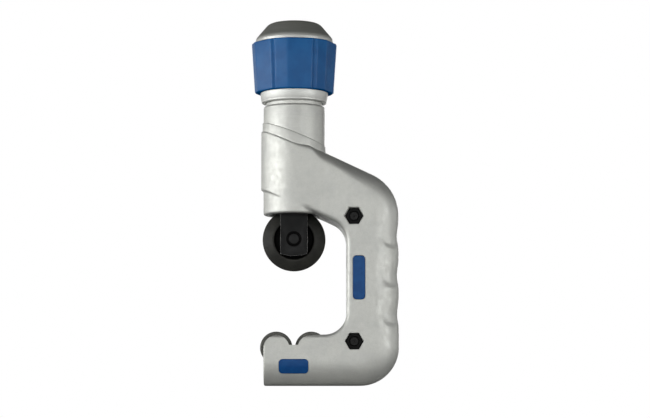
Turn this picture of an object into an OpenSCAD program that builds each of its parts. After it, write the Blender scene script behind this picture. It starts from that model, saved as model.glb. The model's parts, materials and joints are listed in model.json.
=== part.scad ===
/* [Frame outline] */
// Distance from the tool axis to the inner face of the spine
spine_in_x = 26.1; // [24:0.5:34]
// Width of the spine from its inner face to its finger crests
spine_w = 26; // [22:0.5:30]
// Slope of the arm, in degrees
arm_slope = 25; // [20:1:30]
// Height of the arm's underside on the tool axis
arm_low_z = 90.1; // [87:0.1:93]
// Depth of the arm, measured along Z
arm_deep = 33; // [30:0.5:36]
// Height of the lower arm's top face
low_arm_z = 24.8; // [23.8:0.1:25.2]
// Distance from the tool axis to the free end of the lower arm
end_x = 14.8; // [14.4:0.1:16]
// Radius of the throat's upper inner corner
throat_top_r = 11.5; // [8:0.5:12]
// Radius of the throat's lower inner corner
throat_low_r = 11; // [8:0.5:12]
// Radius of the upper outer corner
corner_top_r = 22.5; // [20:0.5:28]
// Radius of the lower outer corner
corner_low_r = 19; // [15:0.5:21]

/* [Frame section] */
// Half thickness of the arm at the barrel
arm_half = 16.5; // [16.3:0.1:17.2]
// Half thickness of the spine and the lower arm
spine_half = 14; // [13:0.2:15]
// Depth of the rounding along the arm's crest
arm_round = 9.5; // [7:0.5:11]
// Depth of the rounding along the spine
spine_round = 15; // [12:0.5:16]
// Depth of the rounding along the base
base_round = 12.5; // [10:0.5:14]
// Half width of the flat that the tool stands on
base_land = 6; // [4:0.5:7]
// Half width of the flat along the finger crests
crest_land = 3; // [2:0.5:5]
// Radius of the edges round the throat
edge_r = 2; // [1:0.1:2.5]

/* [Finger scallops] */
// Number of finger scallops
finger_count = 3; // [1:1:3]
// Distance from one scallop to the next
finger_pitch = 19.4; // [17:0.2:20]
// Depth of a scallop
finger_depth = 0.8; // [0.4:0.05:1.6]
// Height of the lowest crest
finger_low_z = 26.7; // [25:0.1:29]
// How far the creases climb on their way to the sides
finger_climb = 4; // [0:0.5:6]

/* [Barrel] */
// Radius of the barrel above the slanting step
barrel_r = 15.35; // [15:0.05:15.5]
// Radius of the band under the slanting step
band_r = 15.85; // [15.6:0.05:16.2]
// Height of the band on the tool axis
band_h = 5.6; // [3:0.1:6.5]
// Slope of the band's upper edge, in degrees
band_slope = 21; // [15:0.5:25]
// Radius of the barrel below the sleeve
skirt_r = 15.3; // [15:0.05:15.7]
// Height of the barrel's lower rim
barrel_low_z = 84.8; // [83:0.1:85]
// Height of the barrel's upper rim
barrel_top_z = 139.6; // [138.8:0.1:139.9]
// Radius of the neck boss over the barrel
neck_r = 14.1; // [13.4:0.05:14.4]
// Height of the neck boss over the barrel's rim
neck_h = 4.8; // [4:0.1:5.2]
// Radius of the bore that the wheel carrier slides in
bore_r = 12; // [11.8:0.05:12.3]
// Thickness of the barrel's top wall, neck included
top_wall = 8.2; // [7:0.1:9]
// Size of the small chamfers at the barrel's rims
rim_chamfer = 1.1; // [0.5:0.1:1.5]
// How far the sleeve reaches below the arm's underside
sleeve_drop = 0.4; // [0.3:0.1:1.2]
// Height of the sleeve's slanting upper edge on the tool axis
sleeve_edge_z = 119.6; // [117:0.1:121]

/* [Rollers] */
// Radius of a roller
roller_r = 8; // [7.8:0.1:8.4]
// Distance from the tool axis to a roller's axis
roller_x = 8.65; // [8.6:0.05:9]
// Height of the rollers' axes
roller_z = 18.5; // [18:0.1:18.8]
// Length of a roller
roller_len = 14; // [11:0.5:16]
// Radius of a roller pin
roller_pin_r = 2.5; // [2:0.1:3]
// Wall left in front of the roller pins
pin_wall = 3.2; // [2.4:0.1:4]
// Width of a roller's flare groove
flare_w = 1.6; // [1:0.1:2.2]
// Depth of a roller's flare groove
flare_deep = 1.1; // [0.5:0.1:1.6]
// Radius of the humps of the cheeks
hump_r = 6; // [5.5:0.1:6.5]
// Height of the middle of the humps
hump_z = 18.4; // [17.4:0.1:18.5]
// Height of the valley between the humps
valley_z = 19.65; // [18:0.05:20]

/* [Wheel and carrier] */
// Radius of the cutting wheel
wheel_r = 15.7; // [15:0.05:16]
// Height of the wheel's axis at rest
wheel_z = 72.5; // [71.6:0.1:72.9]
// Radius where the cutting bevel starts
bevel_r = 11; // [10:0.1:12]
// Width of the wheel's rim
wheel_rim_w = 4.2; // [3.6:0.1:4.4]
// Width of the wheel's web
wheel_web_w = 1.8; // [1.4:0.1:2.6]
// Width left at the cutting edge
wheel_edge_w = 0.3; // [0.2:0.05:0.6]
// Radius of the wheel's hub
hub_r = 6.9; // [6.5:0.1:8]
// Width of the wheel's hub
hub_w = 4.6; // [4.2:0.1:4.7]
// Radius of the wheel's axle
axle_r = 2.4; // [2:0.1:2.8]
// Radius of the axle's head
axle_head_r = 2.95; // [2.9:0.05:3.4]
// Width of the fork's ears
fork_w = 13.4; // [11:0.2:14]
// Half thickness of the fork over its ears
fork_half = 7; // [6.4:0.1:7.6]
// Width of the slot that the wheel turns in
fork_gap = 5; // [4.9:0.1:5.4]
// Distance from the axle to the fork's end
fork_end = 8.4; // [8:0.1:9]
// Radius of the fork's rounded end
fork_end_r = 22; // [14:0.5:30]
// Height of the underside of the carrier's shank
shank_low_z = 86.1; // [85:0.1:87.5]
// Width of the guide groove in the shank
guide_w = 4.2; // [3.8:0.1:4.6]
// Depth of the guide groove
guide_deep = 2.2; // [1.8:0.1:2.6]
// Full travel of the wheel carrier
travel = 31.5; // [28:0.1:31.6]

/* [Feed] */
// Radius of the spindle's thread crests
thread_r = 5; // [4.5:0.1:5.5]
// Height of the spindle's tip
spindle_low_z = 89.7; // [89.4:0.1:92]
// Radius of the spindle's thrust collar
thrust_r = 9; // [8:0.1:10]
// Thickness of the thrust collar
thrust_h = 2.2; // [1.8:0.1:2.3]
// Thickness of the thrust washer
washer_h = 1.6; // [1:0.1:1.7]
// Radius of the spindle's journal
journal_r = 4.6; // [4:0.1:4.8]
// Radius of the bush's body
bush_r = 7; // [6:0.1:8]
// Radius of the bush's flange
bush_flange_r = 10.4; // [9:0.1:11]
// Thickness of the bush's flange
bush_flange_h = 1.8; // [1.4:0.1:1.9]
// Width over the flats of the spindle's drive end
drive_w = 7; // [6:0.1:7.6]
// Length of the drive end
drive_len = 11; // [9:0.5:13]
// Radius of the stud over the drive end
stud_r = 3; // [2.5:0.1:3.4]
// Length of the stud
stud_len = 8; // [7:0.5:9]

/* [Knob] */
// Height of the knob collar's lower lip
collar_low_z = 141.2; // [140.6:0.1:141.5]
// Radius of the collar's lower lip
collar_low_r = 16.4; // [15.6:0.1:16.8]
// Radius of the collar under the grip
collar_top_r = 16.9; // [16.4:0.1:17.4]
// Height of the grip's lower edge
grip_low_z = 146.4; // [145.8:0.1:147]
// Height of the grip
grip_h = 25.1; // [24:0.1:26.6]
// Radius of the grip at its lower edge
grip_low_r = 19.6; // [19.2:0.1:20.2]
// Radius of the grip at its upper edge
grip_top_r = 22; // [21:0.1:22.6]
// Least wall of the grip round the core
grip_wall = 2.6; // [2.2:0.1:4]
// Wall of the core round its well
core_wall = 2.9; // [2:0.1:4]
// Number of the grip's lobes
lobe_count = 6; // [3:1:9]
// Depth of the grooves between the lobes
lobe_groove = 0.9; // [0.5:0.1:1.4]
// How far the middle of a lobe lies inside its corners
lobe_flat = 1.2; // [0:0.1:1.5]
// Height of the rib along the middle of a lobe
rib_rise = 0.35; // [0:0.05:0.6]
// Size of the edge roundings of the collar
lip_h = 1.1; // [0.6:0.1:1.4]
// Size of the edge roundings of the grip
grip_edge = 0.6; // [0.3:0.1:1.2]
// Radius of the dome at its lower edge
dome_r = 19.5; // [19:0.1:20.2]
// Radius of the rounding round the dome's crown
crown_r = 5; // [3:0.5:8]
// Radius of the rounding at the dome's lower edge
shoulder_r = 3; // [1:0.5:4]
// Slope of the dome's side, in degrees
dome_slope = 50; // [40:1:55]
// Height of the dome over the grip
dome_h = 10.3; // [9:0.1:12]

/* [Screws, cover and inlays] */
// Distance from the tool axis to the screws
screw_x = 29.85; // [29:0.05:31]
// Height of the upper screw
screw_top_z = 83.35; // [80:0.05:84]
// Height of the lower screw
screw_low_z = 21.45; // [19:0.05:23]
// Radius of the screws
screw_r = 2.5; // [2:0.1:2.6]
// Radius of the screws' heads
screw_head_r = 4.6; // [4:0.1:5]
// Width over the flats of the nuts' pockets
nut_w = 8; // [7.4:0.05:8.4]
// Thickness of a nut
nut_h = 4; // [3:0.1:4.4]
// Depth of a nut's outer face under the frame's face
nut_sink = 1.5; // [1:0.1:2]
// Thickness of the rear cover
cover_h = 3.4; // [3:0.1:4]
// Width of the rear cover
cover_w = 17; // [15:0.5:19]
// Corner radius of the rear cover
cover_corner_r = 4.5; // [3:0.5:6]
// Width of the upright inlay
spine_inlay_w = 6; // [5:0.1:7]
// Height of the upright inlay
spine_inlay_h = 21.6; // [18:0.2:26]
// Height of the middle of the upright inlay
spine_inlay_z = 52.85; // [50:0.05:54]
// Distance from the tool axis to the upright inlay
spine_inlay_x = 32.2; // [31:0.1:33]
// Width of the level inlay
arm_inlay_w = 14.5; // [12:0.5:18]
// Height of the level inlay
arm_inlay_h = 7; // [6:0.1:7.6]
// Height of the middle of the level inlay
arm_inlay_z = 9.15; // [8:0.05:9.4]
// Depth of the inlays' pockets
inlay_deep = 1.4; // [1:0.1:2]
// How far the inlays stand proud
inlay_proud = 0.15; // [0:0.05:0.4]
// Corner radius of the inlays
inlay_corner_r = 1.8; // [1:0.1:2.5]

/* [Hidden] */
$fn = 64;
// Overrun of cuts past a face
over = 1;
// Radial clearance of running fits
run_gap = 0.05;
// Clearance of pieces that are fixed in each other
seat_gap = 0.02;
// Clearance round inlays and the cover
trim_gap = 0.1;
// Gap between parts that turn past each other
side_gap = 0.3;

// Frame outline
slope = tan(arm_slope);
spine_out_x = spine_in_x + spine_w;
arm_top_z = arm_low_z + arm_deep;
hub_top_x = spine_in_x - throat_top_r;
hub_top_z = arm_low_z - slope * hub_top_x - throat_top_r / cos(arm_slope);
hub_low_x = spine_in_x - throat_low_r;
hub_low_z = low_arm_z + throat_low_r;
corner_top_x = spine_out_x - corner_top_r;
corner_top_z = arm_top_z - slope * corner_top_x - corner_top_r / cos(arm_slope);
corner_low_x = spine_out_x - corner_low_r;

// Steps along the frame and round its section
arm_steps = 3;
fan_steps = 16;
spine_steps = 24;
foot_steps = 3;
edge_steps = 3;
round_steps = 8;
skin_steps = 8;
dome_steps = 6;
grip_sides = 96;

// Share of a scallop that lies on its long upper side
dip_share = 0.6;
// Shares of half a lobe that its groove and its rib take
groove_share = 0.16;
rib_share = 0.3;

// Heights in the barrel
neck_top_z = barrel_top_z + neck_h;
bore_top_z = neck_top_z - top_wall;
shank_r = bore_r - run_gap;
washer_top_z = bore_top_z - bush_flange_h;
washer_low_z = washer_top_z - washer_h;
thrust_top_z = washer_low_z - run_gap;
shank_top_z = thrust_top_z - thrust_h - side_gap;
shank_len = shank_top_z - shank_low_z;
core_floor_z = neck_top_z + side_gap;
drive_top_z = core_floor_z + drive_len;
core_hub_z = drive_top_z + side_gap;
guide_pin_r = guide_w / 2 - run_gap;
guide_pin_z = barrel_low_z + rim_chamfer + 2 * guide_w;
slot_top_z = wheel_z + wheel_r + 2 * side_gap;
grip_top_z = grip_low_z + grip_h;
core_top_z = grip_top_z - side_gap;
grip_seat_z = grip_low_z + lip_h;
collar_in_r = neck_r + side_gap;
core_r = min(grip_low_r, grip_top_r) - grip_wall;
well_r = core_r - core_wall;
tip_chamfer = thread_r / 4;
clip_h = axle_r / 3;
clip_in_r = axle_r * 3 / 4;
clip_r = axle_r + rim_chamfer;
screw_zs = [screw_top_z, screw_low_z];
nut_face_y = -spine_half + nut_sink;
pocket_floor_y = nut_face_y + nut_h + seat_gap;
slot_half = roller_len / 2 + side_gap;
slot_r = roller_r + 2 * side_gap;
cover_low_z = screw_low_z - cover_corner_r - screw_r;
cover_high_z = screw_top_z + cover_corner_r + screw_r;
cover_in_x = screw_x - screw_head_r - cover_h / 2;
cover_in_y = spine_half - cover_h;
bush_in_r = axle_r + run_gap;
bush_out_r = (axle_r + hub_r) / 2;

// Distance from a hub along a ray until it meets the sloping line through z0 on the tool axis
function to_slope(x, z, a, z0) = (z0 - slope * x - z) / (sin(a) + slope * cos(a));

// Distance from a hub along a ray until it leaves a circle
function to_arc(x, z, a, cx, cz, r) =
    let (dx = cx - x, dz = cz - z, along = dx * cos(a) + dz * sin(a))
    along + sqrt(max(0, r * r - dx * dx - dz * dz + along * along));

// Outer distance in the upper corner: spine, arc or arm, by the direction of the ray
function top_reach(a) =
    let (wide = spine_out_x - hub_top_x,
        d_arc = to_arc(hub_top_x, hub_top_z, a, corner_top_x, corner_top_z, corner_top_r),
        d_arm = to_slope(hub_top_x, hub_top_z, a, arm_top_z))
    wide * sin(a) < (corner_top_z - hub_top_z) * cos(a) ? wide / cos(a) :
    hub_top_x + d_arc * cos(a) > corner_top_x + corner_top_r * sin(arm_slope) ? d_arc : d_arm;

// Outer distance in the lower corner: spine, arc or base, by the direction of the ray
function low_reach(a) =
    let (wide = spine_out_x - hub_low_x)
    wide * sin(a) > (corner_low_r - hub_low_z) * cos(a) ? wide / cos(a) :
    hub_low_z * cos(a) < (hub_low_x - corner_low_x) * sin(a) ? -hub_low_z / sin(a) :
    to_arc(hub_low_x, hub_low_z, a, corner_low_x, corner_low_r, corner_low_r);

// A station is [inner x, inner z, direction x, direction z, depth, rounding, half thickness, land]
function ease(t) = t * t * (3 - 2 * t);
function mix(a, b, t) = a + (b - a) * t;

function arm_station(x) =
    let (t = ease(x / spine_in_x))
    [x, arm_low_z - slope * x, 0, 1, arm_deep, arm_round,
        mix(arm_half - run_gap, spine_half, t), crest_land];

function top_station(a) =
    let (inner = a > 90 - arm_slope ? to_slope(hub_top_x, hub_top_z, a, arm_low_z) : throat_top_r,
        t = ease((90 - a) / 90),
        thick = ease(mix(hub_top_x / spine_in_x, 1, (90 - a) / 90)))
    [hub_top_x + inner * cos(a), hub_top_z + inner * sin(a), cos(a), sin(a), top_reach(a) - inner,
        mix(arm_round, spine_round, t), mix(arm_half - run_gap, spine_half, thick), crest_land];

function spine_station(z) =
    [spine_in_x, z, 1, 0, spine_w, spine_round, spine_half, crest_land];

function low_station(a) =
    let (t = ease(-a / 90))
    [hub_low_x + throat_low_r * cos(a), hub_low_z + throat_low_r * sin(a), cos(a), sin(a),
        low_reach(a) - throat_low_r, mix(spine_round, base_round, t), spine_half,
        mix(crest_land, base_land, t)];

function foot_station(x) =
    [x, low_arm_z, 0, -1, low_arm_z, base_round, spine_half, base_land];

stations = concat(
    [for (i = [0 : arm_steps - 1]) arm_station(hub_top_x * i / arm_steps)],
    [for (i = [0 : fan_steps]) top_station(90 - 90 * i / fan_steps)],
    [for (i = [1 : spine_steps - 1]) spine_station(mix(hub_top_z, hub_low_z, i / spine_steps))],
    [for (i = [0 : fan_steps]) low_station(-90 * i / fan_steps)],
    [for (i = [1 : foot_steps]) foot_station(mix(hub_low_x, -end_x, i / foot_steps))]);

// Depth of the finger scallops: a long way in from each crest and a short way out
function wave(p) = p < dip_share ? pow(sin(90 * p / dip_share), 3) :
    pow(sin(90 * (1 - p) / (1 - dip_share)), 3);
function scallop(z) =
    let (n = (finger_low_z + finger_count * finger_pitch - z) / finger_pitch)
    n < 0 || n > finger_count ? 0 : finger_depth * wave(n - floor(n));

// Half of a section, as [distance from the inner rail, y], from the throat to the outer side
function half_section(s) = concat(
    [for (i = [0 : edge_steps])
        let (a = 90 * i / edge_steps)
        [edge_r * (1 - cos(a)), s[6] - edge_r * (1 - sin(a))]],
    [for (i = [0 : round_steps])
        let (a = 90 * i / round_steps,
            d = s[4] - s[5] * (1 - sin(a)),
            z = s[1] + s[3] * d,
            dip = scallop(z - finger_climb * cos(a)) * sin(a) * max(0, s[2]))
        [d - dip, s[7] + (s[6] - s[7]) * cos(a)]]);

function section(s) =
    let (half = half_section(s), n = len(half))
    [for (i = [0 : 2 * n - 1])
        let (p = half[i < n ? i : 2 * n - 1 - i], side = i < n ? 1 : -1)
        [s[0] + s[2] * p[0], side * p[1], s[1] + s[3] * p[0]]];

module swept_arm() {
    rings = [for (s = stations) section(s)];
    m = len(rings);
    n = len(rings[0]);
    points = [for (ring = rings) each ring];
    walls = [for (k = [0 : m - 2], i = [0 : n - 1])
        let (j = (i + 1) % n)
        each [[k * n + i, (k + 1) * n + i, (k + 1) * n + j], [k * n + i, (k + 1) * n + j, k * n + j]]];
    first = [for (i = [0 : n - 1]) i];
    last = [for (i = [0 : n - 1]) m * n - 1 - i];
    polyhedron(points, concat([first], walls, [last]), convexity = 6);
}

// Lies along Y from y0 to y1, with x and z kept
module along_y(y0, y1) {
    translate([0, y1, 0])
        rotate([90, 0, 0])
            linear_extrude(y1 - y0, convexity = 4)
                children();
}

module round_rect(w, h, r) {
    for (sx = [-1, 1], sy = [-1, 1])
        translate([sx * (w / 2 - r), sy * (h / 2 - r)])
            circle(r, $fn = 24);
    square([w - 2 * r, h], center = true);
    square([w, h - 2 * r], center = true);
}

module ring(r_out, r_in, h) {
    difference() {
        cylinder(h = h, r = r_out);
        translate([0, 0, -over])
            cylinder(h = h + 2 * over, r = r_in);
    }
}

// Region below a slant that crosses the tool axis at height z0
module below_slant(z0, fall) {
    reach = arm_half + over;
    along_y(-reach, reach)
        polygon([[-reach, barrel_low_z], [reach, barrel_low_z],
            [reach, z0 - fall * reach], [-reach, z0 + fall * reach]]);
}

module above_underside() {
    reach = arm_half + over;
    low = arm_low_z - sleeve_drop;
    along_y(-reach, reach)
        polygon([[-reach, low + slope * reach], [reach, low - slope * reach],
            [reach, arm_top_z], [-reach, arm_top_z + slope * reach]]);
}

module barrel_body() {
    rotate_extrude()
        polygon([[0, barrel_low_z], [skirt_r - rim_chamfer, barrel_low_z],
            [skirt_r, barrel_low_z + rim_chamfer], [skirt_r, arm_low_z], [barrel_r, arm_low_z + band_h],
            [barrel_r, barrel_top_z - barrel_r + neck_r], [neck_r, barrel_top_z], [neck_r, neck_top_z],
            [0, neck_top_z]]);
    intersection() {
        translate([0, 0, arm_low_z])
            cylinder(h = barrel_top_z - arm_low_z - rim_chamfer, r = band_r);
        below_slant(sleeve_edge_z + band_h, tan(band_slope));
        above_underside();
    }
    intersection() {
        translate([0, 0, barrel_low_z + rim_chamfer])
            cylinder(h = barrel_top_z - barrel_low_z, r = arm_half);
        below_slant(sleeve_edge_z, slope);
        above_underside();
    }
}

// Outline that is cut from the cheeks over the lower arm
module cheek_cut() {
    difference() {
        translate([-end_x - over, hump_z])
            square([end_x + over + roller_x, low_arm_z - hump_z + over]);
        for (side = [-1, 1])
            translate([side * roller_x, hump_z])
                circle(hump_r);
        translate([-roller_x, hump_z - over])
            square([2 * roller_x, valley_z - hump_z + over]);
    }
}

module roller_slot() {
    along_y(-slot_half, slot_half)
        union() {
            translate([-end_x - over, roller_z - slot_r])
                square([end_x + over + roller_x, low_arm_z + over - roller_z + slot_r]);
            translate([roller_x, roller_z])
                circle(slot_r);
            translate([roller_x, roller_z])
                square([slot_r, low_arm_z + over - roller_z]);
        }
}

module cover_outline(gap) {
    translate([cover_in_x + cover_w / 2, (cover_low_z + cover_high_z) / 2])
        round_rect(cover_w + 2 * gap, cover_high_z - cover_low_z + 2 * gap, cover_corner_r + gap);
}

module spine_inlay_outline(gap) {
    translate([spine_inlay_x, spine_inlay_z])
        round_rect(spine_inlay_w + 2 * gap, spine_inlay_h + 2 * gap, inlay_corner_r + gap);
}

module arm_inlay_outline(gap) {
    translate([0, arm_inlay_z])
        round_rect(arm_inlay_w + 2 * gap, arm_inlay_h + 2 * gap, inlay_corner_r + gap);
}

// Front skin of the lower arm between two depths under its face, as a bar along X
module front_skin(inner, outer, length) {
    low_z = arm_inlay_z - arm_inlay_h;
    function skin_y(z, sink) =
        let (t = max(0, 1 - z / base_round))
        -(base_land + (spine_half - base_land) * sqrt(1 - t * t)) + sink;
    zs = [for (i = [0 : skin_steps]) mix(low_z, arm_inlay_z + arm_inlay_h, i / skin_steps)];
    translate([-length / 2, 0, 0])
        rotate([90, 0, 90])
            linear_extrude(length)
                polygon(concat([for (z = zs) [skin_y(z, outer), z]],
                    [for (i = [skin_steps : -1 : 0]) [skin_y(zs[i], inner), zs[i]]]));
}

module frame() {
    color("silver")
        difference() {
            union() {
                swept_arm();
                barrel_body();
            }
            translate([0, 0, barrel_low_z - over])
                cylinder(h = bore_top_z - barrel_low_z + over, r = bore_r);
            translate([0, 0, bore_top_z - over])
                cylinder(h = top_wall + 2 * over, r = bush_r + seat_gap);
            roller_slot();
            along_y(-spine_half - over, spine_half + over)
                cheek_cut();
            for (side = [-1, 1])
                translate([side * roller_x, 0, roller_z])
                    rotate([-90, 0, 0])
                        translate([0, 0, -spine_half + pin_wall])
                            cylinder(h = 2 * spine_half, r = roller_pin_r + seat_gap);
            translate([0, 0, guide_pin_z])
                rotate([-90, 0, 0])
                    cylinder(h = arm_half + over, r = guide_pin_r + seat_gap);
            for (z = screw_zs)
                translate([screw_x, 0, z])
                    rotate([90, 0, 0]) {
                        cylinder(h = 2 * spine_half, r = screw_r + trim_gap, center = true);
                        translate([0, 0, -pocket_floor_y])
                            cylinder(h = spine_half, r = nut_w / 2 / cos(30), $fn = 6);
                    }
            along_y(cover_in_y - seat_gap, spine_half + over)
                cover_outline(trim_gap);
            along_y(-spine_half - over, -spine_half + inlay_deep)
                spine_inlay_outline(trim_gap);
            intersection() {
                along_y(-spine_half - over, 0)
                    arm_inlay_outline(trim_gap);
                front_skin(inlay_deep, -over, arm_inlay_w + 2 * over);
            }
        }
}

module rear_cover() {
    color("silver")
        difference() {
            intersection() {
                swept_arm();
                along_y(cover_in_y, spine_half + over)
                    cover_outline(0);
            }
            for (z = screw_zs)
                translate([screw_x, spine_half, z])
                    rotate([90, 0, 0]) {
                        translate([0, 0, -over])
                            cylinder(h = 2 * spine_half, r = screw_r + trim_gap);
                        cylinder(h = screw_head_r - screw_r + seat_gap, r1 = screw_head_r + 2 * seat_gap,
                            r2 = screw_r + seat_gap);
                    }
        }
}

module cover_screws() {
    color("dimgray")
        for (z = screw_zs)
            translate([screw_x, spine_half - seat_gap, z])
                rotate([90, 0, 0]) {
                    cylinder(h = screw_head_r - screw_r, r1 = screw_head_r, r2 = screw_r);
                    cylinder(h = 2 * spine_half - nut_sink, r = screw_r);
                }
}

module cover_nuts() {
    color("black")
        for (z = screw_zs)
            translate([screw_x, nut_face_y + nut_h, z])
                rotate([90, 0, 0])
                    difference() {
                        cylinder(h = nut_h, r = nut_w / 2 / cos(30) - trim_gap, $fn = 6);
                        translate([0, 0, -over])
                            cylinder(h = nut_h + 2 * over, r = screw_r + seat_gap);
                    }
}

module spine_inlay() {
    color("royalblue")
        along_y(-spine_half - inlay_proud, -spine_half + inlay_deep - seat_gap)
            spine_inlay_outline(0);
}

module arm_inlay() {
    color("royalblue")
        intersection() {
            along_y(-spine_half - over, 0)
                arm_inlay_outline(0);
            front_skin(inlay_deep - seat_gap, -inlay_proud, arm_inlay_w + 2 * over);
        }
}

module barrel_bush() {
    color("peru")
        translate([0, 0, washer_top_z])
            difference() {
                union() {
                    cylinder(h = bush_flange_h - seat_gap, r = bush_flange_r);
                    cylinder(h = bush_flange_h + top_wall, r = bush_r);
                }
                translate([0, 0, -over])
                    cylinder(h = bush_flange_h + top_wall + 2 * over, r = journal_r + run_gap);
            }
}

module thrust_washer() {
    color("gray")
        translate([0, 0, washer_low_z])
            ring(bush_flange_r, journal_r + trim_gap, washer_h - seat_gap);
}

module guide_pin() {
    color("dimgray")
        translate([0, 0, guide_pin_z])
            rotate([-90, 0, 0])
                translate([0, 0, shank_r - guide_deep + side_gap])
                    cylinder(h = arm_half - shank_r + guide_deep - 2 * side_gap, r = guide_pin_r);
}

module roller() {
    rotate([90, 0, 0])
        translate([0, 0, -roller_len / 2])
            rotate_extrude()
                polygon([[roller_pin_r + run_gap, 0], [roller_r - flare_deep / 2, 0],
                    [roller_r, flare_deep / 2], [roller_r, flare_w],
                    [roller_r - flare_deep, flare_w + flare_w / 2],
                    [roller_r - flare_deep, 2 * flare_w], [roller_r, 2 * flare_w + flare_w / 2],
                    [roller_r, roller_len - flare_deep / 2], [roller_r - flare_deep / 2, roller_len],
                    [roller_pin_r + run_gap, roller_len]]);
}

module roller_left() {
    color("darkslategray")
        translate([-roller_x, 0, roller_z])
            roller();
}

module roller_right() {
    color("darkslategray")
        translate([roller_x, 0, roller_z])
            roller();
}

module roller_pin(side) {
    color("gray")
        translate([side * roller_x, 0, roller_z])
            rotate([-90, 0, 0])
                translate([0, 0, -spine_half + pin_wall + seat_gap])
                    cylinder(h = 2 * spine_half - pin_wall - side_gap - seat_gap, r = roller_pin_r);
}

module roller_pin_left() {
    roller_pin(-1);
}

module roller_pin_right() {
    roller_pin(1);
}

module wheel_carrier() {
    color("dimgray")
        difference() {
            union() {
                translate([0, 0, shank_low_z])
                    cylinder(h = shank_len - rim_chamfer, r = shank_r);
                translate([0, 0, shank_top_z - rim_chamfer])
                    cylinder(h = rim_chamfer, r1 = shank_r, r2 = shank_r - rim_chamfer);
                along_y(-fork_half, fork_half)
                    intersection() {
                        translate([-fork_w / 2, wheel_z - fork_end])
                            square([fork_w, shank_low_z - wheel_z + fork_end + over]);
                        union() {
                            translate([0, wheel_z - fork_end + fork_end_r])
                                circle(fork_end_r);
                            translate([-fork_w / 2, wheel_z])
                                square([fork_w, shank_low_z - wheel_z + over]);
                        }
                    }
            }
            translate([-shank_r - over, -fork_gap / 2, wheel_z - fork_end - over])
                cube([2 * shank_r + 2 * over, fork_gap, slot_top_z - wheel_z + fork_end + over]);
            translate([0, 0, wheel_z])
                cylinder(h = shank_len + wheel_r, r = thread_r + run_gap);
            translate([0, 0, wheel_z])
                rotate([90, 0, 0]) {
                    cylinder(h = 2 * fork_half + 2 * over, r = axle_r + seat_gap, center = true);
                    translate([0, 0, fork_half - rim_chamfer])
                        cylinder(h = rim_chamfer + over, r = axle_head_r + side_gap);
                }
            translate([-guide_w / 2, shank_r - guide_deep, guide_pin_z - guide_w / 2 - side_gap])
                cube([guide_w, guide_deep + over, travel + guide_w + 2 * side_gap]);
        }
}

module wheel_axle() {
    color("gray")
        translate([0, 0, wheel_z])
            rotate([-90, 0, 0])
                difference() {
                    union() {
                        translate([0, 0, -fork_half + seat_gap])
                            cylinder(h = rim_chamfer - 2 * seat_gap, r = axle_head_r);
                        translate([0, 0, -fork_half + seat_gap])
                            cylinder(h = 2 * fork_half + 2 * clip_h, r = axle_r);
                    }
                    translate([0, 0, fork_half + seat_gap])
                        ring(axle_r + over, clip_in_r, clip_h);
                }
}

module axle_clip() {
    color("silver")
        translate([0, fork_half + 2 * seat_gap, wheel_z])
            rotate([-90, 0, 0])
                difference() {
                    cylinder(h = clip_h - 2 * seat_gap, r = clip_r);
                    translate([0, 0, -over])
                        cylinder(h = clip_h + 2 * over, r = clip_in_r + seat_gap);
                    translate([-clip_in_r, 0, -over])
                        cube([2 * clip_in_r, clip_r + over, clip_h + 2 * over]);
                }
}

module cutting_wheel() {
    color("dimgray")
        translate([0, 0, wheel_z])
            rotate([90, 0, 0])
                rotate_extrude()
                    polygon([[bush_out_r + seat_gap, -hub_w / 2], [hub_r, -hub_w / 2],
                        [hub_r, -wheel_web_w / 2], [bevel_r - wheel_web_w, -wheel_web_w / 2],
                        [bevel_r - wheel_web_w / 2, -wheel_rim_w / 2], [bevel_r, -wheel_rim_w / 2],
                        [wheel_r, -wheel_edge_w / 2], [wheel_r, wheel_edge_w / 2],
                        [bevel_r, wheel_rim_w / 2], [bevel_r - wheel_web_w / 2, wheel_rim_w / 2],
                        [bevel_r - wheel_web_w, wheel_web_w / 2], [hub_r, wheel_web_w / 2],
                        [hub_r, hub_w / 2], [bush_out_r + seat_gap, hub_w / 2]]);
}

module wheel_bush() {
    color("peru")
        translate([0, hub_w / 2, wheel_z])
            rotate([90, 0, 0])
                ring(bush_out_r, bush_in_r, hub_w);
}

module spindle() {
    color("gray")
        union() {
            translate([0, 0, spindle_low_z])
                cylinder(h = tip_chamfer, r1 = thread_r - tip_chamfer, r2 = thread_r);
            translate([0, 0, spindle_low_z + tip_chamfer])
                cylinder(h = thrust_top_z - spindle_low_z - tip_chamfer, r = thread_r);
            translate([0, 0, thrust_top_z - thrust_h])
                cylinder(h = thrust_h, r = thrust_r);
            translate([0, 0, thrust_top_z])
                cylinder(h = core_floor_z - thrust_top_z, r = journal_r);
            translate([0, 0, core_floor_z])
                intersection() {
                    cylinder(h = drive_len, r = journal_r);
                    translate([-drive_w / 2, -drive_w / 2, 0])
                        cube([drive_w, drive_w, drive_len]);
                }
            translate([0, 0, drive_top_z])
                cylinder(h = stud_len, r = stud_r);
        }
}

module knob_core() {
    color("silver")
        difference() {
            rotate_extrude()
                polygon([[0, core_floor_z], [collar_in_r, core_floor_z], [collar_in_r, collar_low_z],
                    [collar_low_r - lip_h / 2, collar_low_z],
                    [collar_low_r, collar_low_z + lip_h / 2], [collar_low_r, collar_low_z + lip_h],
                    [collar_top_r, grip_low_z - lip_h],
                    [collar_top_r, grip_seat_z], [core_r, grip_seat_z],
                    [core_r, core_top_z], [well_r, core_top_z], [well_r, core_hub_z], [0, core_hub_z]]);
            translate([0, 0, core_floor_z - over])
                intersection() {
                    cylinder(h = drive_len + 2 * over, r = journal_r + seat_gap);
                    translate([-drive_w / 2 - seat_gap, -drive_w / 2 - seat_gap, 0])
                        cube([drive_w + 2 * seat_gap, drive_w + 2 * seat_gap, drive_len + 3 * over]);
                }
        }
}

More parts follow.
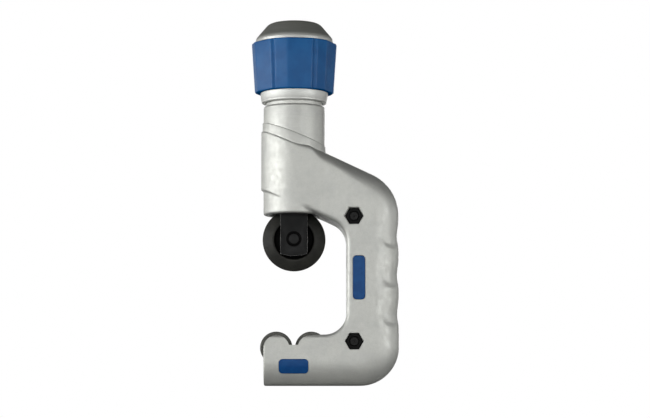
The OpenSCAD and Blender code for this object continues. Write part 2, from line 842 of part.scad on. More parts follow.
// What a lobe adds to the grip's radius in a direction: a raised rib along its middle, grooves at its sides
function lobe(a) =
    let (n = a * lobe_count / 360 + 1 / 2,
        p = abs(n - floor(n) - 0.5) * 2,
        groove = p > 1 - groove_share ? ease((p - 1 + groove_share) / groove_share) : 0,
        rib = p < rib_share ? 1 - ease(p / rib_share) : 0)
    rib_rise * rib - lobe_groove * groove - lobe_flat * (1 - p * p);

module knob_grip() {
    levels = [[grip_low_z, -grip_edge], [grip_low_z + grip_edge / 3, -grip_edge / 3],
        [grip_low_z + grip_edge, 0], [grip_top_z - grip_edge, 0],
        [grip_top_z - grip_edge / 3, -grip_edge / 3], [grip_top_z, -grip_edge]];
    n = grip_sides;
    m = len(levels);
    points = [for (l = levels, i = [0 : n - 1])
        let (a = 360 * i / n,
            r = mix(grip_low_r, grip_top_r, (l[0] - grip_low_z) / grip_h) + lobe(a) + l[1])
        [r * sin(a), -r * cos(a), l[0]]];
    walls = [for (k = [0 : m - 2], i = [0 : n - 1])
        let (j = (i + 1) % n)
        each [[k * n + i, (k + 1) * n + i, (k + 1) * n + j], [k * n + i, (k + 1) * n + j, k * n + j]]];
    bottom = [for (i = [0 : n - 1]) i];
    top = [for (i = [0 : n - 1]) m * n - 1 - i];
    color("steelblue")
        difference() {
            polyhedron(points, concat([bottom], walls, [top]), convexity = 4);
            translate([0, 0, grip_low_z - over])
                cylinder(h = grip_h + 2 * over, r = core_r + seat_gap);
            translate([0, 0, grip_low_z - over])
                cylinder(h = grip_seat_z - grip_low_z + over + seat_gap, r = collar_top_r + seat_gap);
        }
}

module knob_cap() {
    side = 90 - dome_slope;
    shoulder_x = dome_r - shoulder_r;
    shoulder_z = grip_top_z + lip_h;
    crown_z = grip_top_z + dome_h - crown_r;
    crown_x = shoulder_x - ((crown_z - shoulder_z) * sin(side) + crown_r - shoulder_r) / cos(side);
    function arc(x, z, r, a0, a1) =
        [for (i = [0 : dome_steps]) let (a = mix(a0, a1, i / dome_steps)) [x + r * cos(a), z + r * sin(a)]];
    color("silver")
        difference() {
            rotate_extrude()
                polygon(concat([[0, core_top_z - stud_len / 2],
                        [well_r - seat_gap, core_top_z - stud_len / 2],
                        [well_r - seat_gap, grip_top_z + seat_gap], [dome_r, grip_top_z + seat_gap]],
                    arc(shoulder_x, shoulder_z, shoulder_r, 0, side),
                    arc(crown_x, crown_z, crown_r, side, 90),
                    [[0, grip_top_z + dome_h]]));
            translate([0, 0, core_top_z - stud_len])
                cylinder(h = stud_len, r = well_r - stud_r);
        }
}

module knob_washer() {
    color("gray")
        translate([0, 0, core_hub_z + seat_gap])
            ring(2 * stud_r + side_gap, stud_r + trim_gap, washer_h - 2 * seat_gap);
}

module knob_nut() {
    color("gray")
        translate([0, 0, core_hub_z + washer_h])
            difference() {
                cylinder(h = nut_h, r = 2 * stud_r, $fn = 6);
                translate([0, 0, -over])
                    cylinder(h = nut_h + 2 * over, r = stud_r + seat_gap);
            }
}

frame();
rear_cover();
cover_screws();
cover_nuts();
spine_inlay();
arm_inlay();
barrel_bush();
thrust_washer();
guide_pin();
roller_left();
roller_right();
roller_pin_left();
roller_pin_right();
wheel_carrier();
wheel_axle();
axle_clip();
cutting_wheel();
wheel_bush();
spindle();
knob_core();
knob_grip();
knob_cap();
knob_washer();
knob_nut();
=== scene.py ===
import json
import math

import bmesh
import bpy
import numpy as np
from mathutils import Matrix, Vector


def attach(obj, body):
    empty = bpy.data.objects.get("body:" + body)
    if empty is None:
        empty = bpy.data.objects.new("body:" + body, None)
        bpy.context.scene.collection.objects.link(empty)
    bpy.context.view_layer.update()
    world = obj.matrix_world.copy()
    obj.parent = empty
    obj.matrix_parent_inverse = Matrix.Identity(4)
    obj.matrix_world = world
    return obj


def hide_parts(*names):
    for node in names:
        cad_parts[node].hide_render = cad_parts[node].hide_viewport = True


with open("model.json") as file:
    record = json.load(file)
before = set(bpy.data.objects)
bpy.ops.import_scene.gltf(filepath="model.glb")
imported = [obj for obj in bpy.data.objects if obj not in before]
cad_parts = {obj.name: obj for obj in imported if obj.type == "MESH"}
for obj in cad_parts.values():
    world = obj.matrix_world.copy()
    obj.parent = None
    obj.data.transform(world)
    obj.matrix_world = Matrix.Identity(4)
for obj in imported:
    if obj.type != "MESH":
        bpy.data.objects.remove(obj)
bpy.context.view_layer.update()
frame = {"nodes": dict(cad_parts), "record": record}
nodes = frame["nodes"]
record = frame["record"]
scene = bpy.context.scene

MM = 0.001
BODY = {name: body for body, names in record["behaviour"]["bodies"].items() for name in names}

# Clearances and overruns, in millimetres
SEAT_GAP = 0.02
SIDE_GAP = 0.3
TRIM_GAP = 0.1
OVER = 2.0
THROUGH = 16.0
OUTSIDE = 18.0

# Frame: outline and section of the swept arm
SLOPE_ANGLE = math.radians(25)
SLOPE = math.tan(SLOPE_ANGLE)
SPINE_IN = 26.1
SPINE_W = 26.0
SPINE_OUT = SPINE_IN + SPINE_W
ARM_LOW = 90.1
ARM_DEEP = 33.0
ARM_TOP = ARM_LOW + ARM_DEEP
LOW_ARM = 24.8
END_X = 14.8
THROAT_TOP_R = 11.5
THROAT_LOW_R = 11.0
CORNER_TOP_R = 22.5
CORNER_LOW_R = 19.0
ARM_HALF = 16.5
ARM_START_HALF = 16.45
SPINE_HALF = 14.0
CREST_START = 5.0
CREST_THIN = 2.6
CREST_THIN_X = 8.0
ARM_ROUND = 6.0
SPINE_ROUND = 15.0
BASE_ROUND = 12.5
BASE_LAND = 6.0
CREST_LAND = 3.0
EDGE_R = 2.0

# Finger scallops: the share of each that is its long side, at the crest and at the side of the spine
FINGER_COUNT = 3
FINGER_PITCH = 19.4
FINGER_DEPTH = 0.8
FINGER_LOW = 26.7
FINGER_CLIMB = 2.4
DIP_SHARE = 0.6
SIDE_DIP_SHARE = 0.82
SIDE_DEPTH = 0.75
FLANK_IN = (0.22, 0.5)
FLANK_OUT = (0.9, 0.6)

# Barrel, sleeve and bore
BARREL_R = 15.35
BAND_R = 15.85
BAND_H = 5.6
BAND_SLOPE = math.tan(math.radians(21))
SKIRT_R = 15.3
SKIRT_FRONT = 16.35
BARREL_LOW = 84.8
BARREL_TOP = 139.6
NECK_R = 14.1
NECK_TOP = BARREL_TOP + 4.8
BORE_R = 12.0
BORE_TOP = NECK_TOP - 8.2
BUSH_HOLE_R = 7.02
RIM = 0.7
BORE_FLARE = 1.4
BARREL_ROUND = 1.25
SLEEVE_DROP = 0.4
SLEEVE_EDGE = 119.6
SLEEVE_ROUND = 0.7
BAND_TOP = SLEEVE_EDGE + BAND_H
BAND_ROUND = 0.45
BAND_FOOT = ARM_LOW + 4
BARREL_FOOT = 100.0
SKIRT_TOP = 112.0

# Rollers, their pins and cheeks, and the wheel
ROLLER_R = 8.0
ROLLER_X = 8.65
ROLLER_Z = 18.5
ROLLER_LEN = 14.0
PIN_R = 2.5
PIN_FLOOR = -10.8
SLOT_R = ROLLER_R + 0.6
HUMP_R = 6.3
HUMP_X = 8.4
HUMP_Z = 18.1
VALLEY_Z = 19.65
CHEEK_END = ROLLER_X + 3
WHEEL_R = 15.7
WHEEL_Z = 72.5

# Knob: collar, core, grip and dome
COLLAR_LOW = 141.2
COLLAR_LOW_R = 16.4
COLLAR_TOP_R = 16.9
LIP_H = 1.1
LIP_ROUND = 0.7
DRIVE_HOLE_R = 4.0
HUB_TOP = 156.2
GRIP_LOW = 146.4
GRIP_H = 25.1
GRIP_TOP = GRIP_LOW + GRIP_H
GRIP_LOW_R = 20.1
GRIP_TOP_R = 21.75
GRIP_EDGE = 0.6
CORE_R = 17.0
WELL_R = 14.1
GROOVE = 1.3
LOBE_EDGE = 30.0
RIDGE_TURN = -8.6
RIDGE_SHARE = 0.98
GROOVE_SHARE = 0.115
DOME_R = 19.5
DOME_H = 10.3
DOME_SIDE = 40
SHOULDER_R = 3
SHOULDER_H = 1.1
CROWN_R = 5
CROWN_SINK = 0.25
CROWN_LIP = 0.01
DOME_EDGE = 0.25
SPIGOT = 4.3

# Screws, nuts, rear cover, inlays and guide pin
SCREW_X = 29.85
SCREW_ZS = (83.35, 21.45)
SCREW_R = 2.5
SCREW_HOLE_R = 2.6
SCREW_TIP = -12.5
HEAD_R = 4.5
HEAD_FACE = 13.98
SINK_R = 4.75
NUT_R = 4.0 / math.cos(math.radians(30))
NUT_FLOOR = -8.48
POCKET_FLARE = 0.2
COVER_LOW = 14.45
COVER_HIGH = 90.35
COVER_X = 32.05
COVER_W = 17.0
COVER_CORNER = 4.5
COVER_IN = 10.6
INLAY_X = 32.2
INLAY_Z = 52.85
INLAY_W = 6.0
INLAY_H = 21.6
INLAY_CORNER = 1.8
INLAY_FLOOR = -12.6
INLAY_PROUD = 0.15
ARM_INLAY_Z = 9.15
ARM_INLAY_W = 14.5
ARM_INLAY_H = 7.0
ARM_INLAY_FLOOR = -11.0
ARM_INLAY_BAR = 9
GUIDE_Z = 94.3
GUIDE_R = 2.07


# Colours
def srgb(r, g, b):
    def one(c):
        c /= 255
        return c / 12.92 if c <= 0.04045 else ((c + 0.055) / 1.055) ** 2.4
    return (one(r), one(g), one(b), 1)


# Materials: how metallic the aluminium is, the gloss of plastic and oxide, and the near-black colour and low
# gloss of painted shade in recesses
ALUMINIUM = 0.78
GLOSS = 0.22
PAINTED_SHADE_GLOSS = 0.05
PAINTED_SHADE = srgb(5, 5, 5)
RING_EDGE = 0.3
KNOB_FROM = 120
KNOB_TO = 130


class Graph:
    """Short calls for the nodes of a tree."""

    def __init__(self, tree, space):
        self.tree = tree
        self.coords = self.tree.nodes.new("ShaderNodeTexCoord").outputs[space]

    def link(self, a, b):
        self.tree.links.new(a, b)

    def put(self, socket, value):
        if isinstance(value, bpy.types.NodeSocket):
            self.link(value, socket)
        else:
            socket.default_value = value

    def node(self, kind, **values):
        made = self.tree.nodes.new("ShaderNode" + kind)
        for key, value in values.items():
            setattr(made, key, value)
        return made

    def scaled(self, x, y, z):
        made = self.node("Mapping")
        made.inputs["Scale"].default_value = (x, y, z)
        self.link(self.coords, made.inputs["Vector"])
        return made.outputs["Vector"]

    def noise(self, scale, detail=3, rough=0.55, vector=None):
        made = self.node("TexNoise")
        made.inputs["Scale"].default_value = scale
        made.inputs["Detail"].default_value = detail
        made.inputs["Roughness"].default_value = rough
        self.link(vector or self.coords, made.inputs["Vector"])
        return made.outputs["Fac"]

    def math(self, operation, a, b=0.0, c=0.0):
        made = self.node("Math", operation=operation)
        for socket, value in zip(made.inputs, (a, b, c)):
            self.put(socket, value)
        return made.outputs[0]

    def range(self, value, low, high, to_low=0.0, to_high=1.0, smooth=True):
        made = self.node("MapRange", interpolation_type="SMOOTHSTEP" if smooth else "LINEAR")
        self.link(value, made.inputs["Value"])
        made.inputs["From Min"].default_value = low
        made.inputs["From Max"].default_value = high
        made.inputs["To Min"].default_value = to_low
        made.inputs["To Max"].default_value = to_high
        return made.outputs["Result"]

    def mix(self, share, a, b):
        made = self.node("Mix", data_type="RGBA")
        self.put(made.inputs[0], share)
        self.put(made.inputs[6], a)
        self.put(made.inputs[7], b)
        return made.outputs[2]

    def axes(self):
        made = self.node("SeparateXYZ")
        self.link(self.coords, made.inputs[0])
        return made.outputs

    def radius(self, a, b):
        return self.math("SQRT", self.math("MULTIPLY_ADD", a, a, self.math("MULTIPLY", b, b)))

    def bump(self, height, distance, strength=1.0, below=None):
        made = self.node("Bump")
        made.inputs["Distance"].default_value = distance
        made.inputs["Strength"].default_value = strength
        self.link(height, made.inputs["Height"])
        if below:
            self.link(below, made.inputs["Normal"])
        return made.outputs["Normal"]

    def edges(self, radius, low, high):
        """Bright along edges: how far the rounded normal leans away from the true one."""
        bevel = self.node("Bevel", samples=4)
        bevel.inputs["Radius"].default_value = radius
        geometry = self.node("NewGeometry")
        dot = self.node("VectorMath", operation="DOT_PRODUCT")
        self.link(bevel.outputs[0], dot.inputs[0])
        self.link(geometry.outputs["Normal"], dot.inputs[1])
        return self.range(dot.outputs["Value"], high, low)


class Shader(Graph):
    """A material with a Principled shader."""

    def __init__(self, name):
        self.material = bpy.data.materials.new(name)
        self.material.use_nodes = True
        super().__init__(self.material.node_tree, "Object")
        self.bsdf = self.tree.nodes["Principled BSDF"]
        self.bsdf.distribution = "MULTI_GGX"

    def set(self, **values):
        names = {"color": "Base Color", "metallic": "Metallic", "rough": "Roughness", "normal": "Normal",
                 "specular": "Specular IOR Level"}
        for key, value in values.items():
            self.put(self.bsdf.inputs[names[key]], value)


def cast_metal():
    """Bead-blasted casting, with a turned surface on the barrel above the slanting band."""
    s = Shader("cast_satin")
    x, y, z = s.axes()
    patches = s.range(s.noise(90, 4, 0.6), 0.35, 0.65)
    grain = s.noise(2600, 2, 0.6)
    base = s.mix(patches, srgb(186, 187, 183), srgb(193, 194, 189))
    base = s.mix(s.range(grain, 0.3, 0.7, 0.0, 0.4), base, srgb(172, 173, 168))
    above = s.math("MULTIPLY_ADD", x, BAND_SLOPE, z)
    upper = s.range(above, (BAND_TOP - 0.4) * MM, (BAND_TOP + 0.2) * MM)
    inner = s.range(s.radius(x, y), (BARREL_R + 0.05) * MM, (BARREL_R + 0.25) * MM, 1.0, 0.0)
    machined = s.math("MULTIPLY", upper, inner)
    lines = s.noise(1, 3, 0.7, s.scaled(90, 90, 5200))
    bright = s.math("MULTIPLY", machined, s.range(lines, 0.35, 0.7, 0.0, 0.35))
    base = s.mix(bright, base, srgb(206, 207, 202))
    fine = s.bump(grain, 0.00005, 0.5)
    brushed = s.bump(s.math("MULTIPLY", machined, lines), 0.00003, 0.5, fine)
    s.set(color=base, metallic=ALUMINIUM, rough=s.range(s.noise(420, 3), 0.3, 0.7, 0.5, 0.6), specular=0.3,
          normal=brushed)
    return s.material


def turned_metal():
    s = Shader("turned_satin")
    lines = s.noise(1, 3, 0.7, s.scaled(60, 60, 6500))
    base = s.mix(s.range(lines, 0.3, 0.7), srgb(190, 191, 187), srgb(204, 205, 201))
    base = s.mix(s.range(s.noise(300, 3), 0.45, 0.75, 0.0, 0.3), base, srgb(180, 181, 176))
    s.set(color=base, metallic=ALUMINIUM, rough=s.range(lines, 0.2, 0.8, 0.48, 0.6), specular=0.3,
          normal=s.bump(lines, 0.00003, 0.5))
    return s.material


def dome_metal():
    """Painted shade and light: darker crown over a lighter band above the grip, one metal in a shaded and a
    lit tone.
    """
    s = Shader("dome_satin")
    x, y, z = s.axes()
    rings = s.noise(1, 3, 0.7, s.scaled(60, 60, 5000))
    # painted shade: band goes from 0 on the lit band above the grip to 1 on the shaded crown
    band = s.range(z, (GRIP_TOP + 1.8) * MM, (GRIP_TOP + 3.7) * MM)
    shaded_tone = s.mix(s.range(rings, 0.3, 0.7), srgb(128, 129, 124), srgb(144, 145, 140))
    lit_tone = s.mix(s.range(rings, 0.3, 0.7), srgb(174, 175, 171), srgb(188, 189, 185))
    s.set(color=s.mix(band, lit_tone, shaded_tone), metallic=0.6, rough=s.range(rings, 0.2, 0.8, 0.36, 0.48),
          specular=0.3, normal=s.bump(rings, 0.00002, 0.5))
    return s.material


def blue_plastic(name, low, high, rough, scale):
    """Moulded plastic, matt on the grip's underside, where it would mirror the floor."""
    s = Shader(name)
    x, y, z = s.axes()
    knob = s.range(z, KNOB_FROM * MM, KNOB_TO * MM)
    under = s.math("MULTIPLY", knob, s.range(z, GRIP_LOW * MM, (GRIP_LOW + 0.5) * MM, 1.0, 0.0))
    cloud = s.range(s.noise(scale, 3), 0.35, 0.65)
    grain = s.noise(3800, 2, 0.5)
    s.set(color=s.mix(cloud, low, high), specular=s.range(under, 0, 1, GLOSS, 0.0),
          normal=s.bump(grain, 0.00002, 0.35),
          rough=s.range(s.noise(700, 3), 0.3, 0.7, rough - 0.04, rough + 0.05))
    return s.material


def dark_metal(name, low, high, edge, rough, rings=()):
    """Black oxide with edges lightened, partly as wear and partly as a painted highlight; rings, given by
    two radii about the wheel's axis, are painted shade, near black with little gloss.
    """
    s = Shader(name)
    grain = s.noise(1800, 3, 0.6)
    base = s.mix(s.range(s.noise(260, 4), 0.35, 0.7), low, high)
    scuffs = s.range(s.noise(900, 3), 0.3, 0.7, 0.35, 1.0)
    # edges lighter, partly as wear and partly as a painted highlight, varying at random along them
    wear_and_highlight = s.math("MULTIPLY", s.edges(0.00025, 0.86, 0.99), scuffs)
    gloss = GLOSS
    for start, end in rings:
        x, y, z = s.axes()
        r = s.radius(x, s.math("SUBTRACT", z, WHEEL_Z * MM))
        painted_shade_ring = s.range(r, start * MM, (start + RING_EDGE) * MM)
        painted_shade_ring = s.math("MULTIPLY", painted_shade_ring, s.range(r, end * MM, (end + RING_EDGE) * MM, 1.0, 0.0))
        # painted shade: near black inside each ring, where the wheel's recess and the axle's surround lie in
        # shadow
        base = s.mix(painted_shade_ring, base, PAINTED_SHADE)
        gloss = s.range(painted_shade_ring, 0, 1, GLOSS, PAINTED_SHADE_GLOSS)
        wear_and_highlight = s.math("MULTIPLY", wear_and_highlight, s.range(painted_shade_ring, 0, 1, 1.0, 0.0))
    s.set(color=s.mix(wear_and_highlight, base, edge), metallic=0.1, specular=gloss,
          rough=s.range(grain, 0.3, 0.7, rough - 0.05, rough + 0.07), normal=s.bump(grain, 0.00003, 0.4))
    return s.material


def bright_metal(name, low, high, rough):
    s = Shader(name)
    lines = s.noise(1, 3, 0.7, s.scaled(900, 900, 900))
    s.set(color=s.mix(s.range(lines, 0.3, 0.7), low, high), metallic=0.9,
          rough=s.range(s.noise(500, 3), 0.3, 0.7, rough - 0.05, rough + 0.06),
          normal=s.bump(lines, 0.00001, 0.4))
    return s.material


CAST = cast_metal()
TURNED = turned_metal()
DOME = dome_metal()
GRIP = blue_plastic("grip_plastic", srgb(12, 76, 130), srgb(18, 84, 139), 0.36, 120)
INLAY = blue_plastic("inlay_plastic", srgb(4, 60, 114), srgb(8, 67, 122), 0.45, 300)
# Wheel's recess and the fork round the axle end get a ring of painted shade; edge colours are wear and
# painted highlight
WHEEL = dark_metal("wheel_oxide", srgb(32, 32, 29), srgb(40, 40, 36), srgb(92, 92, 86), 0.5,
                   [(6.9, 9.7)])
FORK = dark_metal("fork_oxide", srgb(12, 13, 13), srgb(20, 21, 21), srgb(190, 191, 188), 0.48,
                  [(2.3, 3.7)])
ROLLER = dark_metal("roller_oxide", srgb(66, 66, 62), srgb(82, 82, 77), srgb(160, 160, 155), 0.36)
NUT = dark_metal("nut_oxide", srgb(2, 2, 2), srgb(4, 4, 4), srgb(14, 14, 14), 0.7)
SCREW = dark_metal("screw_oxide", srgb(14, 14, 14), srgb(20, 20, 20), srgb(44, 44, 44), 0.5)
STEEL = bright_metal("bright_steel_turned", srgb(168, 168, 166), srgb(190, 190, 188), 0.3)
BRONZE = bright_metal("bronze_sintered", srgb(150, 112, 66), srgb(170, 128, 78), 0.42)


# Small sums
def ease(t):
    return t * t * (3 - 2 * t)


def mix(a, b, t):
    return a + (b - a) * t


# Mesh tools, all in millimetres
def solid(name, points, faces):
    """Object from points and faces, with its skin closed and its normals outward."""
    mesh = bpy.data.meshes.new(name)
    bm = bmesh.new()
    verts = [bm.verts.new(p) for p in points]
    for face in faces:
        bm.faces.new([verts[i] for i in face])
    bmesh.ops.remove_doubles(bm, verts=bm.verts, dist=0.0005)
    bmesh.ops.recalc_face_normals(bm, faces=bm.faces)
    bm.to_mesh(mesh)
    bm.free()
    obj = bpy.data.objects.new(name, mesh)
    scene.collection.objects.link(obj)
    return obj


def loft(name, rings, wrap=False, caps=True):
    """Joins rings of equal length into one skin; wrap joins the last ring to the first."""
    n = len(rings[0])
    m = len(rings)
    points = [p for ring in rings for p in ring]
    faces = []
    for k in range(m if wrap else m - 1):
        a = k * n
        b = (k + 1) % m * n
        faces += [(a + i, b + i, b + (i + 1) % n, a + (i + 1) % n) for i in range(n)]
    if caps and not wrap:
        faces.append(tuple(range(n)))
        faces.append(tuple(range((m - 1) * n, m * n)))
    return solid(name, points, faces)


def turned(name, profile, sides=144, along="Z", at=(0, 0, 0)):
    """Turns a profile of radius and height about an axis through at."""
    open_ended = profile[0][0] == 0 and profile[-1][0] == 0
    rings = []
    for r, h in profile[1:-1] if open_ended else profile:
        ring = []
        for i in range(sides):
            a = math.tau * i / sides
            u, v = r * math.cos(a), r * math.sin(a)
            p = (u, v, h) if along == "Z" else (u, h, v)
            ring.append((p[0] + at[0], p[1] + at[1], p[2] + at[2]))
        rings.append(ring)
    return loft(name, rings, wrap=not open_ended)


def prism(name, outline, y0, y1):
    """Closed solid over an outline of x and z, from y0 to y1."""
    return loft(name, [[(x, y, z) for x, z in outline] for y in (y0, y1)])


def arc(x, z, r, a0, a1, steps):
    return [(x + r * math.cos(math.radians(mix(a0, a1, i / steps))),
             z + r * math.sin(math.radians(mix(a0, a1, i / steps)))) for i in range(steps + 1)]


def circle(x, z, r, sides=30):
    return arc(x, z, r, 0, 360 - 360 / sides, sides - 1)


def round_rect(x, z, w, h, r, grow=0.0):
    u, v = w / 2 - r, h / 2 - r
    r += grow
    return (arc(x + u, z + v, r, 0, 90, 8) + arc(x - u, z + v, r, 90, 180, 8)
            + arc(x - u, z - v, r, 180, 270, 8) + arc(x + u, z - v, r, 270, 360, 8))


def hexagon(x, z, r):
    turns = [math.radians(60 * i) for i in range(6)]
    return [(x + r * math.cos(a), z + r * math.sin(a)) for a in turns]


def front_pocket(name, outline, floor):
    """Cutter for a pocket in the front face, with a chamfered rim; outline(grow) gives its shape."""
    face = -SPINE_HALF
    past = 0.5
    levels = [(floor, 0), (face + POCKET_FLARE, 0), (face - past, POCKET_FLARE + past)]
    return loft(name, [[(x, y, z) for x, z in outline(grow)] for y, grow in levels])


def slanted(name, r, low, low_fall, high, high_fall, edge, sides=192, steps=4):
    """Cylinder about the tool axis between two slanting planes, with its upper edge rounded."""
    rings = []
    for k in range(-1, steps + 1):
        b = math.radians(90 * max(k, 0) / steps)
        radius = r - edge * (1 - math.cos(b))
        ring = []
        for i in range(sides):
            a = math.tau * i / sides
            x, y = radius * math.cos(a), radius * math.sin(a)
            z = low - low_fall * x if k < 0 else high - high_fall * x - edge * (1 - math.sin(b))
            ring.append((x, y, z))
        rings.append(ring)
    return loft(name, rings)


def joined(name, parts):
    """One object out of several, as separate shells."""
    bm = bmesh.new()
    for part in parts:
        bm.from_mesh(part.data)
    mesh = bpy.data.meshes.new(name)
    bm.to_mesh(mesh)
    bm.free()
    obj = bpy.data.objects.new(name, mesh)
    scene.collection.objects.link(obj)
    for part in parts:
        drop(part)
    return obj


def drop(obj):
    mesh = obj.data
    bpy.data.objects.remove(obj)
    bpy.data.meshes.remove(mesh)


def applied(obj):
    """Turns an object's modifiers into mesh."""
    graph = bpy.context.evaluated_depsgraph_get()
    graph.update()
    mesh = bpy.data.meshes.new_from_object(obj.evaluated_get(graph))
    old = obj.data
    obj.modifiers.clear()
    obj.data = mesh
    bpy.data.meshes.remove(old)
    return obj


def twin(obj, name):
    """Copy of an object with a mesh of its own."""
    copy = bpy.data.objects.new(name, obj.data.copy())
    scene.collection.objects.link(copy)
    return copy


def carve(obj, cutter, operation="DIFFERENCE"):
    """Boolean of an object with a cutter, which is used up."""
    cut = obj.modifiers.new("cut", "BOOLEAN")
    cut.operation = operation
    cut.solver = "MANIFOLD"
    cut.object = cutter
    applied(obj)
    drop(cutter)
    return obj


def remesh(obj, voxel):
    """One even skin over an object's shells."""
    made = obj.modifiers.new("voxels", "REMESH")
    made.mode = "VOXEL"
    made.voxel_size = voxel
    return applied(obj)


def relax(obj, rounds, share=None):
    """Evens a skin out; share(x, y, z) gives how much each point takes part, from 0 to 1."""
    mesh = obj.data
    n = len(mesh.vertices)
    co = np.empty(n * 3)
    mesh.vertices.foreach_get("co", co)
    co = co.reshape(n, 3)
    ends = np.empty(len(mesh.edges) * 2, dtype=np.int32)
    mesh.edges.foreach_get("vertices", ends)
    a, b = ends.reshape(-1, 2).T
    count = np.bincount(ends, minlength=n)[:, None]
    pull = 0.6
    part = pull if share is None else pull * np.clip(share(*co.T), 0, 1)[:, None]
    for _ in range(rounds):
        total = np.stack([np.bincount(a, co[b, k], n) + np.bincount(b, co[a, k], n) for k in range(3)], 1)
        co += part * (total / count - co)
    mesh.vertices.foreach_set("co", co.ravel())
    mesh.update()
    return obj


def smooth(mesh, degrees):
    mesh.polygons.foreach_set("use_smooth", [True] * len(mesh.polygons))
    mesh.set_sharp_from_angle(angle=math.radians(degrees))


def shown(obj, node, material, sharp=30):
    """Takes a finished piece into the model in place of a CAD node."""
    mesh = obj.data
    mesh.transform(Matrix.Scale(MM, 4))
    mesh.materials.clear()
    mesh.materials.append(material)
    smooth(mesh, sharp)
    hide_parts(node)
    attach(obj, BODY[node])
    return obj


def dressed(node, name, bevel, material, sharp=35):
    """Copy of a CAD node's solid with its sharp edges broken."""
    bm = bmesh.new()
    bm.from_mesh(nodes[node].data)
    bmesh.ops.remove_doubles(bm, verts=bm.verts, dist=0.002 * MM)
    bmesh.ops.dissolve_limit(bm, angle_limit=math.radians(0.5), verts=bm.verts, edges=bm.edges)
    crisp = [e for e in bm.edges if len(e.link_faces) == 2 and e.calc_face_angle() > math.radians(sharp)]
    bmesh.ops.bevel(bm, geom=crisp, offset=bevel * MM, segments=2, profile=0.5, affect="EDGES",
                    clamp_overlap=True)
    mesh = bpy.data.meshes.new(name)
    bm.to_mesh(mesh)
    bm.free()
    mesh.transform(Matrix.Scale(1 / MM, 4))
    obj = bpy.data.objects.new(name, mesh)
    scene.collection.objects.link(obj)
    return shown(obj, node, material, sharp)


# Casting: voxels of its skin, the fall of the lines that are smoothed, and the chamfer of its neck
CAST_VOXEL = 0.42
SLOPE_LINE = 0.47
NECK_EDGE = 0.3

# Hubs and corners of the swept arm's outline
HUB_TOP_X = SPINE_IN - THROAT_TOP_R
HUB_TOP_Z = ARM_LOW - SLOPE * HUB_TOP_X - THROAT_TOP_R / math.cos(SLOPE_ANGLE)
HUB_LOW_X = SPINE_IN - THROAT_LOW_R
HUB_LOW_Z = LOW_ARM + THROAT_LOW_R
CORNER_TOP_X = SPINE_OUT - CORNER_TOP_R
CORNER_TOP_Z = ARM_TOP - SLOPE * CORNER_TOP_X - CORNER_TOP_R / math.cos(SLOPE_ANGLE)
CORNER_LOW_X = SPINE_OUT - CORNER_LOW_R


def to_slope(x, z, a, z0):
    """Distance from a hub along a ray to the sloping line through z0 on the tool axis."""
    return (z0 - SLOPE * x - z) / (math.sin(a) + SLOPE * math.cos(a))


def to_arc(x, z, a, cx, cz, r):
    """Distance from a hub along a ray to where it leaves a circle."""
    dx, dz = cx - x, cz - z
    along = dx * math.cos(a) + dz * math.sin(a)
    return along + math.sqrt(max(0, r * r - dx * dx - dz * dz + along * along))


def top_reach(a):
    """Outer distance in the upper corner: spine, arc or arm."""
    wide = SPINE_OUT - HUB_TOP_X
    if wide * math.sin(a) < (CORNER_TOP_Z - HUB_TOP_Z) * math.cos(a):
        return wide / math.cos(a)
    reach = to_arc(HUB_TOP_X, HUB_TOP_Z, a, CORNER_TOP_X, CORNER_TOP_Z, CORNER_TOP_R)
    if HUB_TOP_X + reach * math.cos(a) > CORNER_TOP_X + CORNER_TOP_R * math.sin(SLOPE_ANGLE):
        return reach
    return to_slope(HUB_TOP_X, HUB_TOP_Z, a, ARM_TOP)


def low_reach(a):
    """Outer distance in the lower corner: spine, base or arc."""
    wide = SPINE_OUT - HUB_LOW_X
    if wide * math.sin(a) > (CORNER_LOW_R - HUB_LOW_Z) * math.cos(a):
        return wide / math.cos(a)
    if HUB_LOW_Z * math.cos(a) < (HUB_LOW_X - CORNER_LOW_X) * math.sin(a):
        return -HUB_LOW_Z / math.sin(a)
    return to_arc(HUB_LOW_X, HUB_LOW_Z, a, CORNER_LOW_X, CORNER_LOW_R, CORNER_LOW_R)


# Stations: inner x, inner z, direction x, direction z, depth, rounding, half thickness, land
def arm_station(x):
    half = mix(ARM_START_HALF, SPINE_HALF, ease(x / SPINE_IN))
    thin = mix(CREST_START, CREST_THIN, min(1, x / CREST_THIN_X))
    rounding = mix(thin, ARM_ROUND, ease(max(0, x - CREST_THIN_X) / (HUB_TOP_X - CREST_THIN_X)))
    return (x, ARM_LOW - SLOPE * x, 0, 1, ARM_DEEP, rounding, half, CREST_LAND)


def top_station(degrees):
    a = math.radians(degrees)
    inner = THROAT_TOP_R
    if a > math.pi / 2 - SLOPE_ANGLE:
        inner = to_slope(HUB_TOP_X, HUB_TOP_Z, a, ARM_LOW)
    turn = (90 - degrees) / 90
    half = mix(ARM_START_HALF, SPINE_HALF, ease(mix(HUB_TOP_X / SPINE_IN, 1, turn)))
    return (HUB_TOP_X + inner * math.cos(a), HUB_TOP_Z + inner * math.sin(a), math.cos(a), math.sin(a),
            top_reach(a) - inner, mix(ARM_ROUND, SPINE_ROUND, ease(turn)), half, CREST_LAND)


def spine_station(z):
    return (SPINE_IN, z, 1, 0, SPINE_W, SPINE_ROUND, SPINE_HALF, CREST_LAND)


def low_station(degrees):
    a = math.radians(degrees)
    t = ease(-degrees / 90)
    return (HUB_LOW_X + THROAT_LOW_R * math.cos(a), HUB_LOW_Z + THROAT_LOW_R * math.sin(a),
            math.cos(a), math.sin(a), low_reach(a) - THROAT_LOW_R, mix(SPINE_ROUND, BASE_ROUND, t),
            SPINE_HALF, mix(CREST_LAND, BASE_LAND, t))


def foot_station(x):
    return (x, LOW_ARM, 0, -1, LOW_ARM, BASE_ROUND, SPINE_HALF, BASE_LAND)


